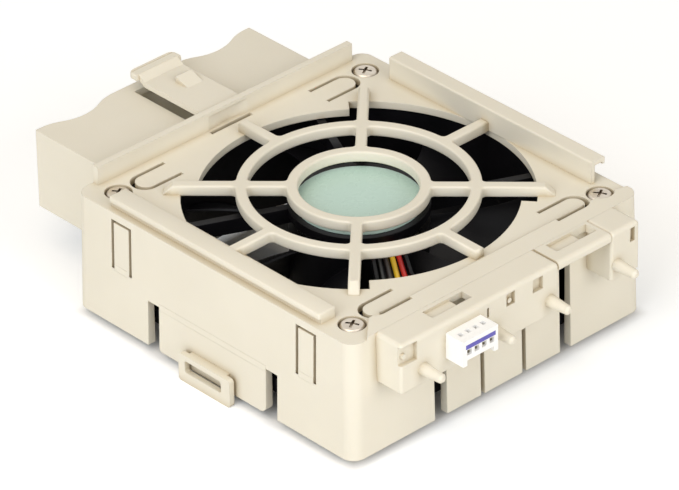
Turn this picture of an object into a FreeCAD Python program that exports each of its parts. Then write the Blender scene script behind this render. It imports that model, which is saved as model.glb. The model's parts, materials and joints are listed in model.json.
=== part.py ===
import FreeCAD, Part
import math
import os

# Server fan module. A 92 mm fan hangs under the top plate of a moulded housing, behind a
# finger guard. The connector shelf is at the front (-Y), the hollow handle block with the
# release latch is at the back (+Y), and guide rails run along both sides of the plate.
# Millimetres, +Z up. The origin is on the fan's axis, in the plane of the lower rim.

V = FreeCAD.Vector
ORIGIN = V(0, 0, 0)
Z_AXIS = V(0, 0, 1)
QUARTERS = (0, 90, 180, 270)

# Fan: the standard 92 mm size
FAN_SIZE = 92.0
FAN_DEPTH = 25.4
SCREW_SPACING = 82.5
SCREW_HOLE_RADIUS = 2.15
BORE_RADIUS = 43.8
FLANGE = 4.0
DUCT_RADIUS = 45.5

# Housing: outline at the lower rim and at the top, and the space inside
HEIGHT = 32.0
PLATE = 2.0
RIM_X = (-49.3, 48.0)
RIM_Y = (-49.5, 49.3)
TOP_X = (-48.5, 47.5)
TOP_Y = (-48.7, 48.9)
CORNER = 3.5
INSIDE_X = (-47.0, 46.3)
INSIDE_Y = (-47.2, 47.0)
BAND_X = 48.7
BAND_TOP = 21.3
PLATE_UNDER = HEIGHT - PLATE
FAN_BOTTOM = PLATE_UNDER - FAN_DEPTH

# Opening over the fan
OPENING_RADIUS = 43.3
LEDGE_RADIUS = 39.5
LEDGE_HALF_ANGLE = 40.0
OPENING_FLAT_X = -38.6

# Finger guard
GUARD_BOTTOM = 31.6
GUARD_TOP = 34.6
BAR_WIDTH = 2.8
BAR_SHOULDER = 0.9
RING_RADII = (16.2, 28.55)
PLAIN_SPOKES = ((0, 42.7, 0), (90, 41.7, 0), (180, 41.4, 1.5), (270, 41.7, 0))
FOOTED_SPOKES = ((45, 48.0, 2.4), (135, 47.5, 2.4), (225, 46.0, 2.4), (315, 47.5, 2.4))

# Raised strip and rear wall on the plate
STRIP_TOP = 32.8
STRIP_Y = -42.9
REAR_WALL_X = (-42.7, 42.2)
REAR_WALL_Y = (47.0, 48.9)
REAR_WALL_TOP = 37.0
SCOOP_DEPTH = 0.9

# Connector shelf and connector
SHELF_X = (-40.8, 38.6)
SHELF_Y = -57.2
SHELF_BOTTOM = 19.5
SHELF_WALL = 1.8
SHELF_SPLIT = (11.2, 29.0)
LIP_BOTTOM = 30.7
PEG_X = (-33.6, -10.4, 8.2, 30.9)
PEG_Z = 23.5
PEG_LENGTH = 6.8
PEG_RADII = (1.65, 1.2)
CONNECTOR_X = -20.6
CONNECTOR_WIDTH = 11.4
CONNECTOR_Y = -63.1
CONNECTOR_Z = (23.0, 30.0)
PIN_PITCH = 2.45
STRIPE_Z = (27.6, 28.7)

# Leads, in their channel along one strut
LEAD_NAMES = ("lead_black", "lead_brown", "lead_yellow", "lead_red")
LEAD_RADIUS = 0.65
LEAD_START = V(-3.0, -11.5, 0)
LEAD_BEND = V(-20.6, -35.6, 0)
LEAD_START_PITCH = 1.45
LEAD_END_Y = -54.5
CHANNEL_FLOOR = 25.9
LEAD_Z = CHANNEL_FLOOR + LEAD_RADIUS + 0.02
PORT_X = (-26.0, -15.2)

# Handle block
BLOCK_X = (-36.5, 35.0)
BLOCK_END = 77.5
BLOCK_BOTTOM = 10.0
BLOCK_WALL = 2.0
SCALLOP_SPREAD = 22.3
SCALLOP_WIDTH = 24.0
SCALLOP_DEPTH = 2.9
WINDOW_HALF = 6.9
WINDOW_Y = (54.3, 74.2)

# Release latch, a tongue with its root on the rear wall
LATCH_HALF = 6.5
LATCH_THICK = 1.5
LATCH_TOP = 36.0
LATCH_ROOT_Y = 49.3
LATCH_RAMP_Y = (70.5, 73.0)
LATCH_TIP_Y = 76.0
LIP_OVERHANG = 1.0
HINGE_GAP = 0.1

# Side clip and snap fingers, cut free from the left wall
CLIP_Y = (-19.2, 18.8)
CLIP_SLOT = 4.0
CLIP_HINGE_Z = 12.6
FINGER_SPANS = {"snap_finger_rear": (29.5, 34.9), "snap_finger_front": (-35.7, -30.5)}
FINGER_SLOT = 0.9
FINGER_HINGE_Z = 16.6
FINGER_TOP = 29.3
KNUCKLE_SINK = 0.01
GROOVE_RISE = 0.03
KNUCKLE_END_GAP = 0.05
LOOP_X = (-51.65, -50.15)

# Guide rails
RIGHT_RAIL_Y = (-36.8, 34.0)
LEFT_RAIL_Y = (-36.3, 38.7)
LEFT_RAIL_TOP = 34.9
LEFT_RAIL_RAMP = 2.3

# Motor: everything turns or stands round the fan's axis
BASE_RADIUS = 17.5
BASE_Z = (27.6, 29.8)
HUB_RADIUS = 17.3
HUB_WALL = 1.6
HUB_Z = (5.4, 24.2)
TIP_RADIUS = 43.0
BLADES = 7
BLADE_HALF_DEPTH = 8.0
BLADE_PITCH = (50.0, 26.0)
YOKE_RADIUS = HUB_RADIUS - HUB_WALL
YOKE_WALL = 0.9
MAGNET_WALL = 2.0
CORE_RADIUS = 11.9
CORE_Z = (11.0, 20.0)
TUBE_RADII = (4.0, 4.8)
SHAFT_RADIUS = 1.5
BEARING_WIDTH = 4.0
BEARING_Z = (10.6, 20.0)
BOARD_Z = (24.9, 25.9)


def box(x0, x1, y0, y1, z0, z1):
    return Part.makeBox(x1 - x0, y1 - y0, z1 - z0, V(x0, y0, z0))


def cylinder(radius, z0, z1, x=0, y=0):
    return Part.makeCylinder(radius, z1 - z0, V(x, y, z0))


def tube(inner, outer, z0, z1):
    return cylinder(outer, z0, z1).cut(cylinder(inner, z0, z1))


def rod(radius, axis, start, length):
    return Part.makeCylinder(radius, length, start, axis)


def fuse(*shapes):
    return shapes[0].multiFuse(list(shapes[1:])).removeSplitter()


def turned(shape, degrees):
    copy = shape.copy()
    copy.rotate(ORIGIN, Z_AXIS, degrees)
    return copy


def quadrants(shape):
    """The shape with its mirror images in the other three quadrants."""
    pair = [shape, shape.mirror(ORIGIN, V(1, 0, 0))]
    return Part.makeCompound(pair + [one.mirror(ORIGIN, V(0, 1, 0)) for one in pair])


def prism(points, start, end, axis="z"):
    """Prism along an axis, on a closed outline given in the other two axes."""
    places = {"x": lambda a, b: V(start, a, b), "y": lambda a, b: V(a, start, b),
              "z": lambda a, b: V(a, b, start)}
    ways = {"x": V(1, 0, 0), "y": V(0, 1, 0), "z": Z_AXIS}
    outline = Part.makePolygon([places[axis](a, b) for a, b in points + points[:1]])
    return Part.Face(outline).extrude(ways[axis] * (end - start))


def revolved(points):
    """Solid of revolution about Z, on a closed outline of (radius, height) points."""
    outline = Part.makePolygon([V(r, 0, z) for r, z in points + points[:1]])
    return Part.Face(outline).revolve(ORIGIN, Z_AXIS, 360)


def sector(inner, outer, start, end, z0, z1):
    """Part of a ring between two azimuths in degrees."""
    wedge = Part.makeCylinder(outer, z1 - z0, V(0, 0, z0), Z_AXIS, end - start)
    return turned(wedge, start).cut(cylinder(inner, z0, z1))


def rounded_rectangle(x_span, y_span, radius, z):
    """Closed wire of a rectangle with round corners."""
    x0, x1 = x_span[0] + radius, x_span[1] - radius
    y0, y1 = y_span[0] + radius, y_span[1] - radius
    arcs = []
    for quarter, (x, y) in enumerate([(x1, y1), (x0, y1), (x0, y0), (x1, y0)]):
        circle = Part.Circle(V(x, y, z), Z_AXIS, radius)
        start = quarter * math.pi / 2
        arcs.append(Part.ArcOfCircle(circle, start, start + math.pi / 2))
    edges = []
    for arc, following in zip(arcs, arcs[1:] + arcs[:1]):
        edges.append(arc.toShape())
        edges.append(Part.makeLine(arc.EndPoint, following.StartPoint))
    return Part.Wire(edges)


def rounded_block(x_span, y_span, radius, z0, z1):
    face = Part.Face(rounded_rectangle(x_span, y_span, radius, z0))
    return face.extrude(V(0, 0, z1 - z0))


def rounded(shape, radius, chosen):
    """Fillet on every edge that the test picks."""
    return shape.makeFillet(radius, [edge for edge in shape.Edges if chosen(edge)])


def runs_along(edge, axis):
    """True for a straight edge parallel to the axis."""
    ends = [vertex.Point for vertex in edge.Vertexes]
    straight = len(ends) == 2 and isinstance(edge.Curve, Part.Line)
    return straight and (ends[1] - ends[0]).cross(axis).Length < 0.001


# Housing

def outer_body():
    rim = rounded_rectangle(RIM_X, RIM_Y, CORNER, 0)
    top = rounded_rectangle(TOP_X, TOP_Y, CORNER, HEIGHT)
    return Part.makeLoft([rim, top], True, True)


def inside():
    return rounded_block(INSIDE_X, INSIDE_Y, 3.0, -1, PLATE_UNDER)


def plate_opening():
    """The hole over the fan: round, with a ledge at the front and back and one flat."""
    z0, z1 = PLATE_UNDER - 1, HEIGHT + 6
    opening = cylinder(OPENING_RADIUS, z0, z1)
    for middle in (90, 270):
        span = (middle - LEDGE_HALF_ANGLE, middle + LEDGE_HALF_ANGLE)
        opening = opening.cut(sector(LEDGE_RADIUS, OPENING_RADIUS + 1, *span, z0, z1))
    return opening.cut(box(-FAN_SIZE, OPENING_FLAT_X, -FAN_SIZE, FAN_SIZE, z0, z1))


def tongue_slots():
    """Four U-shaped slots that leave a tongue beside each screw."""
    root, end, middle, half, slot, end_slot = 24.3, 33.1, 40.25, 2.8, 1.0, 1.3
    z0, z1 = PLATE_UNDER - 1, HEIGHT + 1
    outer = box(root, end, middle - half - slot, middle + half + slot, z0, z1)
    outer = outer.fuse(cylinder(half + slot, z0, z1, end + end_slot - slot, middle))
    tongue = box(root, end, middle - half, middle + half, z0, z1)
    tongue = tongue.fuse(cylinder(half, z0, z1, end, middle))
    return quadrants(outer.cut(tongue))


def screw_seats():
    reach = SCREW_SPACING / 2
    seat = cylinder(3.5, PLATE_UNDER + 0.8, HEIGHT + 6, reach, reach)
    hole = cylinder(SCREW_HOLE_RADIUS, PLATE_UNDER - 1, HEIGHT, reach, reach)
    return quadrants(seat.fuse(hole))


def raised_strip():
    """Strip along the front edge of the plate, cut back diagonally at its left end."""
    outline = [(-37.5, STRIP_Y), (42.9, STRIP_Y), (47.6, -44.3), (47.6, -49), (-43.9, -49)]
    strip = prism(outline, HEIGHT, STRIP_TOP)
    return strip.common(rounded_block(TOP_X, TOP_Y, CORNER, HEIGHT, STRIP_TOP))


def rear_wall():
    """Raised wall at the back, with a scoop in front and the latch's groove behind."""
    wall = box(*REAR_WALL_X, *REAR_WALL_Y, HEIGHT - 0.5, REAR_WALL_TOP)
    scoop_radius = (LATCH_HALF ** 2 + SCOOP_DEPTH ** 2) / (2 * SCOOP_DEPTH)
    middle = REAR_WALL_Y[0] + SCOOP_DEPTH - scoop_radius
    scoop = cylinder(scoop_radius, HEIGHT, LATCH_TOP, 0, middle)
    radius = LATCH_THICK / 2 + HINGE_GAP
    start = V(-LATCH_HALF - HINGE_GAP, LATCH_ROOT_Y, LATCH_TOP - LATCH_THICK / 2)
    groove = rod(radius, V(1, 0, 0), start, 2 * LATCH_HALF + 2 * HINGE_GAP)
    return wall.cut(scoop).cut(groove)


def front_wall_cuts():
    """Slots that open at the rim, and the port that the leads leave through."""
    spans = ((-22.5, -18.4), (19.5, 23.2), (-7.2, -5.9), (6.7, 8.0))
    slots = [box(*span, RIM_Y[0] - 1, INSIDE_Y[0] + 1, -1, 28) for span in spans]
    port = box(*PORT_X, RIM_Y[0] - 1, INSIDE_Y[0] + 1, CHANNEL_FLOOR - 0.9, 28.7)
    return slots + [port]


def left_wall_middle(z):
    """X of the left wall's mid-plane at a height, and half the wall's thickness there."""
    outer = RIM_X[0] + (TOP_X[0] - RIM_X[0]) * z / HEIGHT
    return (outer + INSIDE_X[0]) / 2, (INSIDE_X[0] - outer) / 2


def knuckle_groove(hinge_z, y_span):
    """Round seat through the whole wall, which a knuckle turns in."""
    x, half = left_wall_middle(hinge_z)
    start = V(x, y_span[0] - KNUCKLE_END_GAP, hinge_z)
    length = y_span[1] - y_span[0] + 2 * KNUCKLE_END_GAP
    return rod(half + GROOVE_RISE, V(0, 1, 0), start, length)


def left_wall_cuts():
    """Windows in which the side clip and the two snap fingers stand free."""
    across = (RIM_X[0] - 1, INSIDE_X[0] + 0.5)
    clip_span = (CLIP_Y[0] - CLIP_SLOT, CLIP_Y[1] + CLIP_SLOT)
    cuts = [box(*across, *clip_span, -1, CLIP_HINGE_Z), knuckle_groove(CLIP_HINGE_Z, CLIP_Y)]
    for span in FINGER_SPANS.values():
        wide = (span[0] - FINGER_SLOT, span[1] + FINGER_SLOT)
        cuts.append(box(*across, *wide, FINGER_HINGE_Z, PLATE_UNDER))
        cuts.append(knuckle_groove(FINGER_HINGE_Z, wide))
    return cuts


def housing():
    band = box(45, BAND_X, RIM_Y[0] + 8, RIM_Y[1] - 8, 0, BAND_TOP)
    shell = fuse(outer_body(), band).cut(inside())
    shell = fuse(shell, raised_strip(), rear_wall())
    latch_cutout = box(-6.8, 6.8, 45.3, 46.5, PLATE_UNDER - 1, HEIGHT + 1)
    cuts = [plate_opening(), tongue_slots(), screw_seats(), latch_cutout]
    return shell.cut(Part.makeCompound(cuts + front_wall_cuts() + left_wall_cuts()))


# Finger guard

def bar_section(place):
    """Section of a guard bar with bevelled shoulders; place(offset, z) gives a point."""
    half = BAR_WIDTH / 2
    shoulder = GUARD_TOP - BAR_SHOULDER
    lean = BAR_SHOULDER * 0.3
    right = [(half, GUARD_BOTTOM), (half, shoulder), (half - lean, GUARD_TOP - lean),
             (half - BAR_SHOULDER, GUARD_TOP)]
    outline = right + [(-offset, z) for offset, z in reversed(right)]
    return Part.Face(Part.makePolygon([place(*point) for point in outline + outline[:1]]))


def guard_ring(radius):
    section = bar_section(lambda offset, z: V(radius + offset, 0, z))
    return section.revolve(ORIGIN, Z_AXIS, 360)


def guard_spoke(angle, reach, slope):
    """Spoke from the inner ring outwards; its end slopes down over the plate."""
    start = RING_RADII[0]
    section = bar_section(lambda offset, z: V(start, offset, z))
    spoke = section.extrude(V(reach - start, 0, 0))
    if slope:
        end = [(reach - slope, GUARD_TOP), (reach, HEIGHT), (reach + 1, HEIGHT),
               (reach + 1, GUARD_TOP + 1), (reach - slope, GUARD_TOP + 1)]
        spoke = spoke.cut(prism(end, -BAR_WIDTH, BAR_WIDTH, "y"))
    return turned(spoke, angle)


def finger_guard():
    """Two rings and eight spokes that rest on the plate and reach over the fan."""
    bars = [guard_ring(radius) for radius in RING_RADII]
    bars += [guard_spoke(*spoke) for spoke in PLAIN_SPOKES + FOOTED_SPOKES]
    plate = box(-60, 60, -60, 60, GUARD_BOTTOM - 1, HEIGHT).cut(plate_opening())
    return fuse(*bars).cut(plate)


# Connector shelf and connector

def shelf_block(x0, x1):
    """One stretch of the shelf, open below, with round front edges."""
    block = box(x0, x1, SHELF_Y, TOP_Y[0] + 1, SHELF_BOTTOM, STRIP_TOP)
    front = rounded(block, 0.8, lambda edge: runs_along(edge, Z_AXIS)
                    and edge.CenterOfMass.y < SHELF_Y + 0.1)
    front = rounded(front, 1.2, lambda edge: runs_along(edge, V(1, 0, 0))
                    and edge.CenterOfMass.y < SHELF_Y + 0.1 and edge.CenterOfMass.z > STRIP_TOP - 1)
    hollow = box(x0 + SHELF_WALL, x1 - SHELF_WALL, SHELF_Y + SHELF_WALL, TOP_Y[0] + 2,
                 SHELF_BOTTOM - 1, STRIP_TOP - SHELF_WALL)
    return front.cut(hollow)


def shelf_lip():
    """Thin stretch between the two blocks, with a rib under it."""
    x0, x1 = SHELF_SPLIT
    lip = box(x0, x1, SHELF_Y, TOP_Y[0] + 1, LIP_BOTTOM, STRIP_TOP)
    lip = rounded(lip, 1.2, lambda edge: runs_along(edge, V(1, 0, 0))
                  and edge.CenterOfMass.y < SHELF_Y + 0.1 and edge.CenterOfMass.z > STRIP_TOP - 1)
    middle = (x0 + x1) / 2 + 0.5
    rib = [(SHELF_Y + 1.5, LIP_BOTTOM), (TOP_Y[0] + 1, LIP_BOTTOM), (TOP_Y[0] + 1, LIP_BOTTOM - 4)]
    return lip.fuse(prism(rib, middle - 0.6, middle + 0.6, "x"))


def shelf_cuts():
    """Pockets in the shelf's top and front face, and the connector's hole."""
    top, face = STRIP_TOP, SHELF_Y
    cuts = [box(-26.9, -14.0, -53.4, -50.0, top - 0.8, top + 1)]
    cuts.append(box(-18.2, -14.0, -53.4, -50.0, top - 3, top + 1))
    cuts.append(box(14.4, 27.9, -53.3, -49.5, top - 0.9, top + 1))
    cuts.append(box(23.0, 27.9, -53.3, -49.5, top - 3, top + 1))
    for x0, x1, z0, z1 in ((-42, -35.6, 27, 32), (-6.3, -3.5, 28.2, 31.6), (2.5, 5.8, 28, 31.6),
                           (35.4, 36.9, 27.8, 31.6), (-12.7, -12.1, 28, 30.6)):
        cuts.append(box(x0, x1, face - 1, face + 1.1, z0, z1))
    half = CONNECTOR_WIDTH / 2 - 0.8
    cuts.append(box(CONNECTOR_X - half, CONNECTOR_X + half, face - 1, face + SHELF_WALL + 1,
                    CONNECTOR_Z[0] + 1.6, CONNECTOR_Z[1] - 1.1))
    return Part.makeCompound(cuts)


def pocket_bumps():
    """Small rounded bumps inside two of the front pockets."""
    start = [V(x, SHELF_Y + 0.4, 29.2) for x in (-39.4, -4.9)]
    return [rod(0.7, V(0, 1, 0), point, 0.9) for point in start]


def peg(x):
    """Tapered peg with a bevelled tip, pointing out of the shelf's front."""
    root, tip = PEG_RADII
    bevel = tip / 2
    cone = Part.makeCone(root, tip, PEG_LENGTH - bevel, V(x, SHELF_Y, PEG_Z), V(0, -1, 0))
    start = V(x, SHELF_Y - PEG_LENGTH + bevel, PEG_Z)
    return cone.fuse(Part.makeCone(tip, tip - bevel, bevel, start, V(0, -1, 0)))


def connector_shelf():
    stretches = [shelf_block(SHELF_X[0], SHELF_SPLIT[0]), shelf_lip(),
                 shelf_block(SHELF_SPLIT[1], SHELF_X[1])]
    shelf = fuse(*stretches).cut(shelf_cuts())
    shelf = fuse(shelf, *pocket_bumps(), *[peg(x) for x in PEG_X])
    over_plate = box(*TOP_X, TOP_Y[0], 0, HEIGHT, STRIP_TOP)
    return shelf.cut(fuse(outer_body(), over_plate))


def pin_places():
    return [CONNECTOR_X + PIN_PITCH * (place - 1.5) for place in range(len(LEAD_NAMES))]


def connector_housing():
    """Four-way socket with two legs; a neck behind it fills the hole in the shelf."""
    half = CONNECTOR_WIDTH / 2
    x0, x1 = CONNECTOR_X - half, CONNECTOR_X + half
    z0, z1 = CONNECTOR_Z
    body = box(x0, x1, CONNECTOR_Y, SHELF_Y, z0 + 1.5, z1)
    legs = [box(x, x + 1.3, CONNECTOR_Y, SHELF_Y, z0, z0 + 1.5) for x in (x0, x1 - 1.3)]
    neck = box(x0 + 0.8, x1 - 0.8, SHELF_Y, SHELF_Y + 4.3, z0 + 1.6, z1 - 1.1)
    shape = fuse(body, neck, *legs)
    cuts = [box(x0 + 0.9, x1 - 0.9, CONNECTOR_Y - 1, CONNECTOR_Y + 0.3, *STRIPE_Z)]
    for x in pin_places():
        cuts.append(box(x - 0.75, x + 0.75, CONNECTOR_Y - 1, -58, LEAD_Z - 0.75, LEAD_Z + 0.75))
        cuts.append(rod(0.85, V(0, 1, 0), V(x, -58.5, LEAD_Z), 6))
        cuts.append(box(x - 0.6, x + 0.6, -60.8, -59.4, LEAD_Z, z1 + 1))
    return shape.cut(Part.makeCompound(cuts))


def coding_strip():
    half = CONNECTOR_WIDTH / 2 - 0.9
    return box(CONNECTOR_X - half, CONNECTOR_X + half, CONNECTOR_Y - 0.1, CONNECTOR_Y + 0.3,
               *STRIPE_Z)


def contacts():
    """Four crimp contacts: a square socket in front and a round barrel behind."""
    pins = []
    for x in pin_places():
        socket = box(x - 0.75, x + 0.75, -62.3, -58, LEAD_Z - 0.75, LEAD_Z + 0.75)
        mouth = box(x - 0.4, x + 0.4, -63, -59, LEAD_Z - 0.4, LEAD_Z + 0.4)
        barrel = rod(0.6, V(0, 1, 0), V(x, -58, LEAD_Z), LEAD_END_Y + 58)
        pins.append(socket.cut(mouth).fuse(barrel))
    return Part.makeCompound(pins)


# Handle block and release latch

def scallop_edges(middle, y):
    """S-shaped dip in the block's end: two outer arcs and one across the bottom."""
    half = SCALLOP_WIDTH / 2
    radius = (half ** 2 + SCALLOP_DEPTH ** 2) / (4 * SCALLOP_DEPTH)
    sweep = math.asin(half / 2 / radius)
    dip = radius * (1 - math.cos(sweep / 2))
    along = radius * math.sin(sweep / 2)
    turn = V(half / 2, -SCALLOP_DEPTH / 2, 0)
    right = V(middle + half, y, 0)
    left = V(middle - half, y, 0)
    right_turn = V(middle + turn.x, y + turn.y, 0)
    left_turn = V(middle - turn.x, y + turn.y, 0)
    return [Part.Arc(right, right + V(-along, -dip, 0), right_turn).toShape(),
            Part.Arc(right_turn, V(middle, y - SCALLOP_DEPTH, 0), left_turn).toShape(),
            Part.Arc(left_turn, left + V(along, -dip, 0), left).toShape()]


def block_outline():
    """Plan of the handle block, as a face at the level of its lower edge."""
    x0, x1 = BLOCK_X
    y0, y1 = REAR_WALL_Y[1] - 2 * BLOCK_WALL, BLOCK_END
    middle = (x0 + x1) / 2
    half = SCALLOP_WIDTH / 2
    right, left = middle + SCALLOP_SPREAD, middle - SCALLOP_SPREAD
    edges = scallop_edges(right, y1) + scallop_edges(left, y1)
    corners = [V(left - half, y1, 0), V(x0, y1, 0), V(x0, y0, 0), V(x1, y0, 0), V(x1, y1, 0),
               V(right + half, y1, 0)]
    edges += [Part.makeLine(a, b) for a, b in zip(corners, corners[1:])]
    edges.append(Part.makeLine(V(left + half, y1, 0), V(right - half, y1, 0)))
    outline = Part.Face(Part.Wire(Part.__sortEdges__(edges)))
    outline.translate(V(0, 0, BLOCK_BOTTOM))
    return outline


def handle_block():
    """Hollow grip, open below, with the window that the latch is pressed into."""
    outline = block_outline()
    depth = HEIGHT - BLOCK_BOTTOM
    outer = outline.extrude(V(0, 0, depth))
    hollow = outline.makeOffset2D(-BLOCK_WALL).extrude(V(0, 0, depth - BLOCK_WALL))
    window = box(-WINDOW_HALF, WINDOW_HALF, *WINDOW_Y, HEIGHT - BLOCK_WALL - 1, HEIGHT + 1)
    return outer.cut(hollow).cut(window).cut(outer_body())


def latch_lip():
    """Raised lip to press, a little wider than the tongue, with a groove across it."""
    start, tip, top = LATCH_RAMP_Y[1] - 0.6, LATCH_TIP_Y, LATCH_TOP + LATCH_THICK
    outline = [(start, LATCH_TOP), (tip, LATCH_TOP), (tip, top), (start + 0.4, top)]
    half = LATCH_HALF + LIP_OVERHANG
    lip = prism(outline, -half, half, "x")
    lip = rounded(lip, 2.0, lambda edge: runs_along(edge, Z_AXIS)
                  and edge.CenterOfMass.y > tip - 0.1)
    lip = rounded(lip, 0.5, lambda edge: edge.BoundBox.ZMin > top - 0.01
                  and edge.CenterOfMass.y > start + 0.5)
    groove = tip - 1.0
    return lip.cut(prism([(groove - 0.3, top + 0.1), (groove + 0.3, top + 0.1),
                          (groove, top - 0.3)], -half, half, "x"))


def release_latch():
    """Spring tongue with a round root, a wedge catch and a raised lip to press."""
    low = LATCH_TOP - LATCH_THICK
    ramp, rise = LATCH_RAMP_Y, LATCH_TOP + LATCH_THICK
    outline = [(LATCH_ROOT_Y, low), (ramp[0], low), (ramp[1], LATCH_TOP), (ramp[1], rise),
               (ramp[0], LATCH_TOP), (LATCH_ROOT_Y, LATCH_TOP)]
    tongue = prism(outline, -LATCH_HALF, LATCH_HALF, "x")
    root = rod(LATCH_THICK / 2, V(1, 0, 0), V(-LATCH_HALF, LATCH_ROOT_Y, (low + LATCH_TOP) / 2),
               2 * LATCH_HALF)
    catch = prism([(61, LATCH_TOP), (65.5, LATCH_TOP), (65.5, rise)], -0.7, 4.5, "x")
    return fuse(tongue, latch_lip(), root, catch)


# Side clip and snap fingers

def left_wall_piece(y_span, z_span):
    """A piece of the left wall, with a round knuckle at the end that it flexes about."""
    wall = outer_body().cut(inside())
    return wall.common(box(RIM_X[0] - 1, INSIDE_X[0], *y_span, *z_span))


def knuckle(y_span, z):
    x, half = left_wall_middle(z)
    return rod(half - KNUCKLE_SINK, V(0, 1, 0), V(x, y_span[0], z), y_span[1] - y_span[0])


def side_clip():
    panel = left_wall_piece(CLIP_Y, (0, CLIP_HINGE_Z))
    for y, radius in zip(CLIP_Y, (2.0, 1.0)):
        panel = rounded(panel, radius, lambda edge: abs(edge.CenterOfMass.z) < 0.01
                        and edge.BoundBox.YLength < 0.01 and abs(edge.CenterOfMass.y - y) < 0.01)
    return fuse(panel, knuckle(CLIP_Y, CLIP_HINGE_Z))


def pull_loop():
    """Ring that hangs below the rim, on a bridge from the side clip."""
    ring = box(*LOOP_X, -9.0, 9.3, -2.4, 5.4)
    ring = rounded(ring, 1.0, lambda edge: runs_along(edge, V(1, 0, 0)))
    window = box(LOOP_X[0] - 1, LOOP_X[1] + 1, -5.9, 7.0, 0.6, 3.85)
    window = rounded(window, 0.6, lambda edge: runs_along(edge, V(1, 0, 0)))
    bridge = box(LOOP_X[1] - 0.2, INSIDE_X[0], -6.5, 6.8, 4.2, 5.4)
    return fuse(ring.cut(window), bridge.cut(outer_body()))


def snap_finger(y_span):
    """Finger that flexes about its lower end; its barb hooks under the fan's flange."""
    finger = left_wall_piece(y_span, (FINGER_HINGE_Z, FINGER_TOP))
    flange_under = PLATE_UNDER - FLANGE
    x = INSIDE_X[0]
    barb = [(x, flange_under - 0.2), (x + 1.5, flange_under - 0.2), (x + 1.5, flange_under - 0.6),
            (x, flange_under - 2.4)]
    barb = prism(barb, y_span[0] + 0.6, y_span[1] - 0.6, "y")
    return fuse(finger, knuckle(y_span, FINGER_HINGE_Z), barb)


# Guide rails and screws

def guide_rail_right():
    """Tall rail: an upright web and a flange over the edge of the plate."""
    outline = [(42.7, HEIGHT), (43.9, HEIGHT), (43.9, 36.8), (46.5, 36.8), (46.5, 36.2),
               (47.3, 36.2), (47.3, 38.2), (42.7, 38.2)]
    rail = prism(outline, *RIGHT_RAIL_Y, "y")
    return rounded(rail, 0.5, lambda edge: runs_along(edge, V(0, 1, 0))
                   and edge.CenterOfMass.z > 38.1)


def guide_rail_left():
    """Low rail: an undercut head outside, a long slope inside and a ramp at its front end."""
    outline = [(-46.6, HEIGHT), (-41.5, HEIGHT), (-45.6, LEFT_RAIL_TOP), (-47.2, LEFT_RAIL_TOP),
               (-47.2, 33.4), (-46.6, 33.4)]
    rail = prism(outline, *LEFT_RAIL_Y, "y")
    front = LEFT_RAIL_Y[0]
    ramp = prism([(front, HEIGHT), (front + LEFT_RAIL_RAMP, LEFT_RAIL_TOP),
                  (front + LEFT_RAIL_RAMP, HEIGHT + 5), (front - 1, HEIGHT + 5),
                  (front - 1, HEIGHT)], -FAN_SIZE, 0, "x")
    return rail.cut(ramp).cut(screw_seats())


def screw(x_side, y_side):
    """Pan-head screw with a cross recess, from the plate into the fan's flange."""
    x, y = x_side * SCREW_SPACING / 2, y_side * SCREW_SPACING / 2
    seat = PLATE_UNDER + 0.8
    head = revolved([(0, seat), (3.3, seat), (3.3, seat + 0.5), (2.6, seat + 1.2), (0, seat + 1.5)])
    shank = cylinder(1.85, PLATE_UNDER - 9, seat)
    cross = [box(-1.7, 1.7, -0.35, 0.35, seat + 0.6, seat + 2)]
    cross.append(turned(cross[0], 90))
    shape = turned(fuse(head, shank).cut(Part.makeCompound(cross)), 30)
    shape.translate(V(x, y, 0))
    return shape


# Fan frame

def lead_direction():
    """Unit vector along the channel and the one across it."""
    along = (LEAD_BEND - LEAD_START).normalize()
    return along, V(-along.y, along.x, 0)


def lead_channel():
    """Strut with low side walls that carries the leads from the motor to the port."""
    along, across = lead_direction()
    near, far = LEAD_START + along * 2, LEAD_BEND - along * 10
    left = [near - across * 4.0, far - across * 4.6, V(PORT_X[0], -35, 0), V(PORT_X[0], -46, 0)]
    right = [V(PORT_X[1], -46, 0), V(PORT_X[1], -43.5, 0), V(PORT_X[1] + 1.5, -36.3, 0),
             far + across * 4.6, near + across * 4.0]
    outline = [(point.x, point.y) for point in left + right]
    floor = prism(outline, CHANNEL_FLOOR - 1, CHANNEL_FLOOR)
    sides = prism(outline, CHANNEL_FLOOR - 1, 27.9)
    trough = Part.Face(Part.makePolygon([V(x, y, CHANNEL_FLOOR) for x, y in outline + outline[:1]]))
    trough = trough.makeOffset2D(-0.8).extrude(V(0, 0, 3))
    ends = [cylinder(BASE_RADIUS - 0.5, CHANNEL_FLOOR, 27.6),
            box(*PORT_X, -47, -38, CHANNEL_FLOOR, 29)]
    channel = fuse(floor, sides.cut(trough).cut(Part.makeCompound(ends)))
    return channel.common(tube(BASE_RADIUS - 2, BORE_RADIUS, 20, HEIGHT))


def strut(angle):
    """Slanted strut from the motor base to the duct."""
    outline = [(BASE_RADIUS - 1, -1.1), (BORE_RADIUS + 0.5, 4.4), (BORE_RADIUS + 0.5, 6.6),
               (BASE_RADIUS - 1, 1.1)]
    bar = prism(outline, 25.8, 29.8).common(cylinder(BORE_RADIUS, 20, HEIGHT))
    return turned(bar, angle - 6)


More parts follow.
